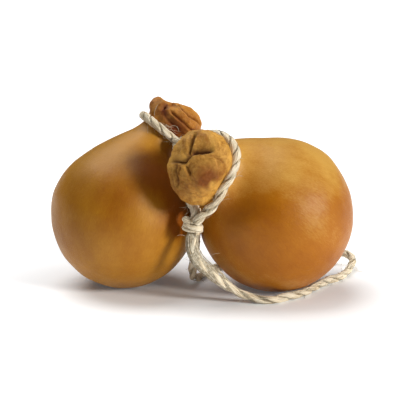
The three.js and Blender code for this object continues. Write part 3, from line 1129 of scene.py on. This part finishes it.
@dataclass
class Strand:
    """How a stretch of twine is laid: two plies pressed into each other and twisted together."""

    thick: float = 2.45             # a ply's half width across the line that joins the two
    thin: float = 1.75              # and its outer half width along that line
    offset: float = 1.26            # from the twine's centre line to a ply's
    pitch: float = 20.0             # length of one full turn of the plies
    sides: int = 22
    step: float = 0.6
    bundles: int = 9                # fibre bundles that stand out round a ply
    relief: float = 0.3             # how far they do, millimetres

    def wind(self, name: str, route: np.ndarray, seed: int = 0, splay: np.ndarray | None = None,
             start_turn: float = 0.0) -> bpy.types.Object:
        """A mesh of two plies along a route.

        Args:
            name: the new object's name.
            route: the centre line in millimetres, already smooth.
            seed: another number gives other unevenness.
            splay: how far apart the plies stand along the line, as [share of the length,
                factor] rows; none for a twine laid evenly.
            start_turn: the plies' angle at the start, in radians.

        Returns:
            The new mesh object, with its plies' ends closed.
        """
        course = Course.along(route, self.step)
        share = np.linspace(0.0, 1.0, len(course.line))
        wider = np.ones(len(share)) if splay is None else np.interp(share, splay[:, 0], splay[:, 1])
        pace = 1.0 / (self.pitch * np.sqrt(wider) * (1 + 0.14 * np.sin(course.travelled / 23.0 + seed)))
        turn = start_turn + 2 * math.pi * np.concatenate(
            ([0.0], np.cumsum(pace[1:] * np.diff(course.travelled))))
        plies = [self._ply(f"{name}_ply{ply}", course, turn + ply * math.pi, wider, seed + 3 * ply)
                 for ply in range(2)]
        return joined(name, plies)

    def _ply(self, name: str, course: Course, turn: np.ndarray, wider: np.ndarray,
             seed: int) -> bpy.types.Object:
        """One ply: a grid wrapped round its own line, mapped along its fibres.

        Args:
            name: the new object's name.
            course: the twine's course.
            turn: the ply's angle round it at each place, in radians.
            wider: how far apart the plies stand there, as a factor.
            seed: another number gives other unevenness.

        Returns:
            The ply's closed mesh object.
        """
        along = course.travelled
        offset = self.offset * wider * (1 + 0.05 * np.sin(along / 6.1 + seed))
        swell = 1 + 0.07 * np.sin(along / 9.7 + 2 * seed) + 0.05 * np.sin(along / 3.9 + seed)
        thick = self.thick * swell * (1 - 0.28 * np.clip(wider - 1, 0.0, 1.0))
        thin = self.thin * swell * (1 + 0.05 * np.clip(wider - 1, 0.0, 1.0))
        inner = np.minimum(offset * 0.97, thin)

        def skin(u: np.ndarray, v: np.ndarray) -> np.ndarray:
            """The ply's surface.

            Args:
                u: shares of the way round it, from its inner side.
                v: shares of its length.

            Returns:
                One place in millimetres for each pair.
            """
            row = np.rint(v * (len(along) - 1)).astype(int)
            around = math.pi + 2 * math.pi * u
            fibre = around + turn[row]
            ridge = np.abs(np.sin(0.5 * self.bundles * fibre + 1.3 * np.sin(along[row] / 31.0 + seed))) - 0.6
            ridge += 0.7 * np.sin(4 * fibre + along[row] / 8.3) * np.sin(along[row] / 5.3 + 3 * fibre + seed)
            reach = np.where(np.cos(around) < 0, inner[row], thin[row])
            bulge = 1 + self.relief * ridge / self.thick * smoothstep(np.cos(around), -0.9, -0.2)
            outward = offset[row] + reach * bulge * np.cos(around)
            across = thick[row] * bulge * np.sin(around)
            cos, sin = np.cos(turn[row]), np.sin(turn[row])
            return (course.line[row] + (outward * cos - across * sin)[:, None] * course.side[row]
                    + (outward * sin + across * cos)[:, None] * course.up[row])

        return wrapped_grid(name, self.sides, len(along), skin, along[-1] * MM, turn / (2 * math.pi))


LOOP_LAY = Strand(pitch=29.0)
RING_LAY = Strand(thick=2.8, thin=2.1, offset=1.2, pitch=19.0)
NOOSE_LAY = Strand(thick=2.8, thin=2.1, offset=1.2, pitch=22.0)
KNOT_LAY = Strand(thick=2.5, thin=1.75, offset=1.25, pitch=40.0, step=0.5)


def wrapped_grid(name: str, sides: int, rows: int, skin: Callable[[np.ndarray, np.ndarray], np.ndarray],
                 real_length: float, drift: np.ndarray) -> bpy.types.Object:
    """A grid primitive wrapped into a closed tube.

    Args:
        name: the new object's name.
        sides: faces round the tube.
        rows: rings of vertices along it.
        skin: gives the place in millimetres for shares round and along the tube.
        real_length: the tube's length in metres, by which its map is stretched.
        drift: how far the map has turned round the tube at each ring, in turns.

    Returns:
        The closed tube, mapped in turns round it and in metres along it.
    """
    deselect_all()
    bpy.ops.mesh.primitive_grid_add(x_subdivisions=sides, y_subdivisions=rows - 1, size=1.0, calc_uvs=True)
    tube = bpy.context.object
    tube.name = tube.data.name = name
    flat = places_of(tube) + 0.5
    move_to(tube, metres(skin(flat[:, 0] % 1.0, flat[:, 1])))
    mapped = np.empty(len(tube.data.loops) * 2)
    tube.data.uv_layers[0].data.foreach_get("uv", mapped)
    mapped = mapped.reshape(-1, 2)
    mapped[:, 0] += drift[np.rint(mapped[:, 1] * (rows - 1)).astype(int)]
    mapped[:, 1] *= real_length
    tube.data.uv_layers[0].data.foreach_set("uv", mapped.ravel())
    close_seams(tube, 0.005 * MM, fill_ends=True)
    return tube


def joined(name: str, parts: list[bpy.types.Object]) -> bpy.types.Object:
    """Makes several meshes one object.

    Args:
        name: that object's name.
        parts: the mesh objects to join, the first of which stays.

    Returns:
        The one object.
    """
    take_up(parts[0])
    for part in parts[1:]:
        part.select_set(True)
    bpy.ops.object.join()
    parts[0].name = parts[0].data.name = name
    return parts[0]


class Lie(Enum):
    """How a loose fibre lies: along the twine's surface, or standing off it."""

    ALONG = "along"
    OFF = "off"


@dataclass(frozen=True)
class Thread:
    """A fine round fibre, thickest in its middle."""

    thickness: float                # radius there
    taper: float = 0.65             # share of it that is gone at the ends

    def spin(self, name: str, lines: list[np.ndarray]) -> bpy.types.Object:
        """Makes one mesh of many fibres.

        Args:
            name: the new object's name.
            lines: each fibre's places in millimetres.

        Returns:
            The mesh object.
        """
        curve = bpy.data.curves.new(name, "CURVE")
        curve.dimensions = "3D"
        curve.bevel_depth = self.thickness * MM
        curve.bevel_resolution = 0
        curve.use_fill_caps = True
        for line in lines:
            spline = curve.splines.new("POLY")
            spline.points.add(len(line) - 1)
            places = np.hstack((metres(line), np.ones((len(line), 1))))
            spline.points.foreach_set("co", places.ravel())
            spline.points.foreach_set("radius", 1 - self.taper * np.linspace(-1.0, 1.0, len(line)) ** 2)
        piece = bpy.data.objects.new(name, curve)
        bpy.context.scene.collection.objects.link(piece)
        take_up(piece)
        bpy.ops.object.convert(target="MESH")
        return bpy.context.object


@dataclass(frozen=True)
class LooseFibres:
    """Single fibres scattered on a stretch of twine."""

    lie: Lie
    thread: Thread
    per_metre: float
    shortest: float
    longest: float
    rise: float                     # how far the longest stands off the surface
    surface: float = 2.6            # where the fibres start, from the twine's centre line
    points: int = 9
    lowest: float = 0.35            # how near the floor they come

    def grow(self, course: Course, first: float, last: float, draw: np.random.Generator) -> list[np.ndarray]:
        """The fibres' lines on one stretch of a course.

        Args:
            course: the twine's course.
            first: where the stretch begins, millimetres from the start.
            last: where it ends.
            draw: the seeded source of chance.

        Returns:
            One array of places for each fibre.
        """
        lines = []
        for _ in range(int((last - first) * MM * self.per_metre)):
            length = draw.uniform(self.shortest, self.longest)
            forward = draw.choice((-1.0, 1.0))
            start = draw.uniform(first, last)
            turn = draw.uniform(0.0, 2 * math.pi)
            spin = draw.normal(0.0, 0.5)
            lift = self.rise * draw.uniform(0.15, 1.0) ** 1.4
            bend = draw.normal(0.0, 0.9)
            t = np.linspace(0.0, 1.0, self.points)
            if self.lie is Lie.ALONG:
                run = length * t
                out = self.surface + lift * np.sin(math.pi * t) + 0.15 * np.sin(7 * t + turn)
                angle = turn + spin * t + 0.12 * np.sin(5 * t + bend)
            else:
                run = length * t * (1 - 0.45 * abs(bend) / 2 * t)
                out = self.surface + lift * t ** 1.7 + 0.25 * np.sin(6 * t + turn) * t
                angle = turn + spin * t + 0.7 * bend * t * t
            distance = np.clip(start + forward * run, 0.0, course.travelled[-1])
            line = course.beside(distance, angle, out)
            line[:, 2] = np.maximum(line[:, 2], self.lowest)
            lines.append(line)
        return lines


CLINGING = LooseFibres(Lie.ALONG, Thread(0.2), per_metre=900.0, shortest=8.0, longest=26.0, rise=0.55,
                       surface=2.45)
STANDING = LooseFibres(Lie.OFF, Thread(0.105), per_metre=480.0, shortest=4.0, longest=17.0, rise=8.0)


@dataclass(frozen=True)
class OpenedStart:
    """The free twine's first stretch, whose fibres lie side by side before the plies close up."""

    thread: Thread = Thread(0.62)
    towards: tuple[float, float, float] = (0.15, -0.96, 0.22)       # the side on which it opens
    bundles: int = 15
    lengths: tuple[float, float] = (34.0, 74.0)                     # the shortest's and the longest's
    width: float = 4.6                                              # half of it, at the knot
    narrows: float = 0.62                                           # share of the width that is lost
    crown: float = 2.6                                              # how far its middle stands forward
    seed: int = 17

    def lines(self, route: np.ndarray, knot: np.ndarray) -> list[np.ndarray]:
        """The bundles' lines.

        Args:
            route: the twine's centre line.
            knot: the middle of the knot that they come out of.

        Returns:
            One array of places for each bundle, from inside the knot.
        """
        line = evenly(route, 1.0)
        ahead = np.array(self.towards)
        lateral = unit(np.cross(unit(np.gradient(line, axis=0)), ahead))
        draw = np.random.default_rng(self.seed)
        bundles = []
        for place in np.linspace(-1.0, 1.0, self.bundles):
            steps = np.arange(0, int(draw.uniform(*self.lengths)), 3)
            width = self.width * (1 - self.narrows * smoothstep(steps / self.lengths[1], 0.45, 1.0))
            wave = draw.uniform(0.15, 0.4) * np.sin(steps / draw.uniform(7.0, 13.0) + draw.uniform(0.0, 6.0))
            out = (place + 0.05 * draw.normal()) * width + wave
            front = math.sqrt(max(0.0, 1 - place * place)) * self.crown + draw.uniform(-0.6, 0.5)
            laid = line[steps] + out[:, None] * lateral[steps] + front * ahead
            tucked = knot + 0.45 * place * self.width * lateral[0] - 1.5 * ahead
            bundles.append(np.vstack((tucked, 0.5 * (tucked + laid[0]) + 0.8 * ahead, laid)))
        return bundles


@dataclass(frozen=True)
class Knot:
    """A strand that comes up through its own middle and is wrapped round it, drawn down on itself."""

    wraps: float = 1.9
    radius: float = 4.9             # of the wraps' centre line
    height: float = 7.4             # between the centre lines of the highest and the lowest wrap
    oval: float = 1.08              # how much wider than deep it is
    start: float = 0.32             # where the first wrap begins, in turns
    drawn_in: float = 0.45          # share of the radius that is lost at both ends of the wraps
    settles: float = 1.1            # share of the lean that is lost by the last wrap

    def route(self, lean: float) -> np.ndarray:
        """The strand's centre line round the knot's own middle.

        Args:
            lean: how far the first wrap slopes down to the right, in degrees.

        Returns:
            The places in millimetres.
        """
        t = np.linspace(0.0, 1.0, 300)
        turn = 2 * math.pi * (self.wraps * t + self.start)
        radius = self.radius * (1 - self.drawn_in * smoothstep(np.abs(2 * t - 1), 0.8, 1.0))
        x = radius * self.oval * np.cos(turn)
        z = self.height * (0.5 - t) + x * math.tan(math.radians(-lean)) * (1 - self.settles * t)
        wraps = np.stack((x, -radius * np.sin(turn), z), axis=1)
        rise = self.height / 2
        over = (-0.3 * wraps[0, 0], -0.3 * wraps[0, 1], rise + 1.2)
        middle = np.array(((0.0, 0.0, -rise), (0.0, 0.0, 0.0), over))
        return catmull_rom(np.concatenate((middle, wraps[::12])), 340)


Place = tuple[float, float, float]


@dataclass
class Tie:
    """The whole twine: a ring on one neck, a noose on the other, two knots and the long loop."""

    diameter: float = 6.0
    rest: float = 3.5               # centre line above the skin it is drawn tight on
    finish: FibreFinish = FibreFinish(
        "twine_fibre", light=(0.94, 0.85, 0.66), middle=(0.74, 0.60, 0.39), dark=(0.27, 0.18, 0.09))
    knot: Knot = Knot()
    knot_right: Place = (-5.8, -42.0, 62.4)
    opened: OpenedStart = OpenedStart()
    stray: Thread = Thread(0.14)
    loop: tuple[Place, ...] = (
        (-6, -43.2, 53.9), (-6, -46, 48), (-3.6, -48, 41), (1.2, -48, 34.2), (10.6, -47, 25.6),
        (21, -44, 15.6), (32, -42, 8.6), (43, -41.5, 4.6), (55, -42, 3.2), (68, -34, 3.2), (82, -24, 3.2),
        (94, -8, 3.2), (106, 8, 3.2), (117, 18, 3.2), (127, 38, 4.4), (131, 54, 8), (124, 62, 10),
        (110, 66, 7), (92, 68, 3.4), (70, 70, 3.2), (46, 66, 3.2), (28, 56, 3.2), (13, 42, 3.2),
        (4, 26, 3.3), (-2.5, 12, 3.9), (-6, 2, 9.4), (-6, -6, 20), (-4, -13, 34), (-2.5, -21, 50),
        (-3.4, -21, 64), (-8, -16, 80), (-12.5, -10, 94), (-14.2, -1.6, 107.6),
    )
    loop_splay: tuple[tuple[float, float], ...] = (     # share of the length, and how far apart its plies are
        (0.0, 1.35), (0.1, 1.3), (0.17, 1.1), (0.3, 1.0), (0.7, 1.0), (0.75, 1.35), (0.8, 1.3), (0.86, 1.0),
        (1.0, 1.0),
    )
    loop_stretches: int = 7         # in how many pieces of each kind its loose fibres are
    noose_first_leg: tuple[Place, ...] = ((-3.4, -46.8, 67.0), (1.4, -48.2, 73.0))
    over_head: tuple[Place, ...] = (                    # angle, height and stand-off under the head's side
        (-34, 87, 6), (-22, 89.5, 3), (-9, 90, 0.5), (3, 89, -1.6), (15, 88, -2.2), (29, 86.5, -1.2),
        (44, 84.5, 0.5), (60, 81.5, 2.2), (76, 79.5, 3.2),
    )
    round_neck: tuple[int, int, int] = (92, 229, 17)    # first angle, last one and step
    off_neck: tuple[Place, ...] = ((243, 75, 4.5), (258, 71, 5.5), (280, 68, 7.0))      # as for over_head
    noose_last_leg: tuple[Place, ...] = ((-2.6, -40.6, 75.0), (-4.4, -41.4, 67.5))
    noose_splay: tuple[tuple[float, float], ...] = (
        (0.0, 1.0), (0.05, 1.5), (0.12, 1.7), (0.2, 1.3), (0.28, 1.0), (1.0, 1.0),
    )
    strays: tuple[tuple[Place, ...], ...] = (
        ((-41.7, 8, 133.2), (-41.5, 8, 127.6), (-41.7, 8, 122.7), (-43.4, 8, 119.1), (-44.3, 8, 116.6)),
        ((-32.1, 1, 151.1), (-34.1, 1, 148), (-35.7, 1, 144), (-35.8, 1, 140)),
        ((-31.5, 1, 136), (-27.6, 1, 134.4), (-23.6, 1, 132), (-20.5, 1, 128), (-17.4, 1, 126.4)),
        ((-26.8, -1, 128.4), (-24.4, -1, 132), (-20.4, -1, 133.6), (-17.3, -1, 131.6), (-16.5, -1, 127.6)),
        ((28, -46, 115.4), (30.4, -46, 116.8), (33, -46, 116.3)),
        ((26.5, -49, 103.2), (29.6, -50, 104.3), (32.6, -50, 103.8)),
        ((-11, -44, 55.6), (-14.5, -44, 56.4), (-17.6, -44, 55.9)),
        ((8, -48, 41.2), (11.9, -48, 42.7), (15.3, -48, 43)),
        ((5.5, -47, 22.5), (9.3, -47, 19.7), (11.6, -46, 18.4)),
        ((128, 41, 5.5), (133.3, 40, 8.8), (137.6, 40, 7.9)),
        ((129, 40, 3.4), (134.4, 40, 0.8), (141.2, 40, 0.5)),
    )
    material: bpy.types.Material = field(init=False)
    loose_material: bpy.types.Material = field(init=False)

    def __post_init__(self) -> None:
        """Makes the materials that all the twine shares."""
        self.material = self.finish.material()
        self.loose_material = self.finish.loose_material()

    def _dress(self, piece: bpy.types.Object, *nodes: str, loose: bool = False) -> bpy.types.Object:
        """Gives a piece the fibre finish and hands it over.

        Args:
            piece: the shaped piece.
            nodes: the plain solids that it stands for, if any.
            loose: whether it is single fibres.

        Returns:
            The same piece.
        """
        piece.data.materials.clear()
        piece.data.materials.append(self.loose_material if loose else self.material)
        take_up(piece)
        bpy.ops.object.shade_smooth()
        hand_over(piece, Slot.TWINE, *nodes)
        return piece

    def _loosen(self, name: str, route: np.ndarray, seed: int, stretches: int = 1) -> list[bpy.types.Object]:
        """The loose fibres of a twine.

        Args:
            name: the twine's name.
            route: its centre line.
            seed: another number gives other fibres.
            stretches: in how many pieces of each kind they are made.

        Returns:
            The pieces, ready on the body.
        """
        course = Course.along(route, 1.0)
        draw = np.random.default_rng(seed)
        ends = np.linspace(0.0, course.travelled[-1], stretches + 1)
        pieces = []
        for fibres in (CLINGING, STANDING):
            for number, (first, last) in enumerate(zip(ends, ends[1:]), 1):
                lines = fibres.grow(course, first, last, draw)
                piece = fibres.thread.spin(f"{name}_fibres_{fibres.lie.value}_{number}", lines)
                pieces.append(self._dress(piece, loose=True))
        return pieces

    def build_loop(self) -> bpy.types.Object:
        """The long free twine, from the front knot round the right cheese to the left neck.

        Returns:
            The twine, ready on the body.
        """
        route = catmull_rom(np.array(self.loop, float), 1600)
        line = evenly(route, 2.0)
        piece = LOOP_LAY.wind("twine_long_loop", route, seed=5, splay=np.array(self.loop_splay))
        self._dress(piece, "twine_loop")
        loose = self._loosen("twine_long_loop", route, seed=51, stretches=self.loop_stretches)
        opened = self.opened.lines(route, np.array(self.knot_right))
        opened = self.opened.thread.spin("twine_long_loop_opened_fibres", opened)
        loose.append(self._dress(opened, loose=True))
        tuple(metres(line[0]))
        metres(line).tolist()
        return piece

    def build_strays(self) -> bpy.types.Object:
        """The longer fibres that have sprung out of the twine, one curve each."""
        lines = [catmull_rom(np.array(stray, float), 14) for stray in self.strays]
        return self._dress(self.stray.spin("twine_stray_fibres", lines), loose=True)

    def build_left_ring(self, form: CheeseForm) -> bpy.types.Object:
        """The turn drawn tight round the left neck, from its knot right round to it again.

        Args:
            form: the left cheese's.

        Returns:
            The ring, ready on the body.
        """
        route = [form.on_skin(angle, form.necktie, self.rest) for angle in range(-48, 325, 6)]
        route = catmull_rom(np.array(route), 700)
        piece = RING_LAY.wind("twine_left_ring", route, seed=2, start_turn=0.6)
        self._loosen("twine_left_ring", route, seed=21)
        return self._dress(piece, "neck_tie_left")

    def build_noose(self, form: CheeseForm) -> bpy.types.Object:
        """The turn round the right neck, both of whose legs run into the front knot.

        Args:
            form: the right cheese's.

        Returns:
            The noose, ready on the body.
        """
        route = [np.array(place) for place in self.noose_first_leg]
        route += [form.on_skin(*place) for place in self.over_head]
        route += [form.on_skin(angle, form.necktie, self.rest) for angle in range(*self.round_neck)]
        route += [form.on_skin(*place) for place in self.off_neck]
        route += [np.array(place) for place in self.noose_last_leg]
        route = catmull_rom(np.array(route), 900)
        splay = np.array(self.noose_splay)
        piece = NOOSE_LAY.wind("twine_right_noose", route, seed=7, splay=splay, start_turn=1.1)
        self._loosen("twine_right_noose", route, seed=71)
        return self._dress(piece, "neck_tie_right")

    def build_knot(self, name: str, node: str, lean: float) -> bpy.types.Object:
        """A tight knot in the middle of the plain solid that it stands for.

        Args:
            name: the new object's name.
            node: that solid's name.
            lean: how far its first wrap slopes down to the right, in degrees.

        Returns:
            The knot, ready on the body.
        """
        low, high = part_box(node)
        centre = np.array((low + high) / 2) / MM + MIDDLE
        piece = KNOT_LAY.wind(name, centre + self.knot.route(lean), seed=11, start_turn=0.4)
        return self._dress(piece, node)


# ---------------------------------------------------------------- studio


@dataclass(frozen=True)
class Sun:
    """A distant soft light."""

    name: str
    travel: tuple[float, float, float]      # the way its light goes
    strength: float
    spread: float                           # how wide it is, in degrees
    colour: Colour = (1.0, 1.0, 1.0)

    def shine(self) -> None:
        """Puts the light in the scene."""
        data = bpy.data.lights.new(self.name, "SUN")
        data.energy, data.color = self.strength, self.colour
        data.angle = math.radians(self.spread)
        light = bpy.data.objects.new(self.name, data)
        light.rotation_euler = Vector(self.travel).to_track_quat("-Z", "Y").to_euler()
        bpy.context.scene.collection.objects.link(light)


@dataclass(frozen=True)
class FloorFinish:
    """A matt floor lit by painted light: it glows more the further it is from the pair, washing out the
    shadows away from it.
    """

    pale: Colour = (0.88, 0.89, 0.90)
    # Painted light: the floor's own glow, faint near the pair, strong away from it, and weak in front
    # (shaded_glow).
    glow_near: Colour = (0.05, 0.058, 0.065)
    glow_far: Colour = (0.36, 0.36, 0.36)
    glow_scale: tuple[float, float, float] = (6.9, 13.3, 1.0)       # one over the glow's reach, metres
    glow_grows: tuple[float, float] = (0.6, 1.3)                    # between which shares of that reach
    shaded: Colour = (0.35, 0.35, 0.35)                             # the part in front of the table
    shaded_glow: Colour = (0.1, 0.1, 0.1)
    shade_grows: tuple[float, float] = (0.3, 0.55)                  # metres in front of the middle

    def material(self) -> bpy.types.Material:
        """The floor's material.

        Returns:
            The finished material.
        """
        tree = NodeTree("pale_floor")
        away = tree.value("ShaderNodeVectorMath", {"operation": "LENGTH"},
                          {0: tree.stretched("Object", self.glow_scale)})
        glow = tree.mixed(away.spread(*self.glow_grows), self.glow_near, self.glow_far)
        place = tree.node("ShaderNodeSeparateXYZ", {}, {"Vector": tree.stretched("Object", (1.0, -1.0, 1.0))})
        ahead = Value(tree, place.outputs["Y"]).spread(*self.shade_grows)
        return tree.surface({
            "Base Color": tree.mixed(ahead, self.pale, self.shaded), "Roughness": 0.9,
            "Specular IOR Level": 0.1, "Emission Color": tree.mixed(ahead, glow, self.shaded_glow),
            "Emission Strength": 1.0,
        })


@dataclass
class Studio:
    """A pale floor under soft light, and the camera."""

    target: tuple[float, float, float] = (0.0, 0.0, 73.0)
    distance: float = 889.0
    elevation: float = 14.0
    lens: float = 100.0
    sensor: float = 36.0
    sees: tuple[float, float] = (0.05, 60.0)                # metres from the camera
    floor_size: float = 24.0                                # metres
    floor_middle: tuple[float, float, float] = (0.0, 0.01, 0.0)
    floor_finish: FloorFinish = FloorFinish()
    key: Sun = Sun("key", (-0.8, 0.49, -0.34), 3.2, 14.0, (1.0, 0.98, 0.95))
    fill: Sun = Sun("fill", (0.3, -0.3, -0.9), 2.5, 50.0)
    room: Colour = (1.0, 1.0, 1.0)
    room_strength: float = 0.05

    def build_camera(self) -> None:
        """The scene's camera, in front of the pair and a little above it."""
        data = bpy.data.cameras.new("camera")
        data.lens, data.sensor_width = self.lens, self.sensor
        data.clip_start, data.clip_end = self.sees
        camera = bpy.data.objects.new("camera", data)
        bpy.context.scene.collection.objects.link(camera)
        bpy.context.scene.camera = camera
        tilt = math.radians(self.elevation)
        back = np.array((0.0, -math.cos(tilt), math.sin(tilt)))
        camera.location = metres(np.array(self.target) + self.distance * back)
        camera.rotation_euler = (math.radians(90 - self.elevation), 0.0, 0.0)

    def build_set(self) -> None:
        """The floor, the lights and the pale surroundings."""
        deselect_all()
        bpy.ops.mesh.primitive_plane_add(size=self.floor_size, location=self.floor_middle)
        floor = bpy.context.object
        floor.name = "floor"
        floor.data.materials.append(self.floor_finish.material())
        self.key.shine()
        self.fill.shine()
        world = bpy.data.worlds.new("pale_room")
        world.use_nodes = True
        background = world.node_tree.nodes["Background"]
        background.inputs["Color"].default_value = (*self.room, 1.0)
        background.inputs["Strength"].default_value = self.room_strength
        bpy.context.scene.world = world
        bpy.context.scene.view_settings.view_transform = "Standard"


def main() -> None:
    """Builds the camera, the twine, the two cheeses and the set."""
    logging.basicConfig(level=logging.INFO, format="%(name)s: %(message)s")
    studio = Studio()
    studio.build_camera()
    tie = Tie()
    tie.build_loop()
    tie.build_strays()
    tie.build_left_ring(LEFT_FORM)
    tie.build_noose(RIGHT_FORM)
    tie.build_knot("twine_right_knot", "knot_right", lean=26.0)
    tie.build_knot("twine_left_knot", "knot_left", lean=20.0)
    Cheese("cheese_left", LEFT_FORM, Slot.RIND_LEFT, LEFT_RIND).build()
    Cheese("cheese_right", RIGHT_FORM, Slot.RIND_RIGHT, RIGHT_RIND).build()
    studio.build_set()


if __name__ == "__main__":
    main()
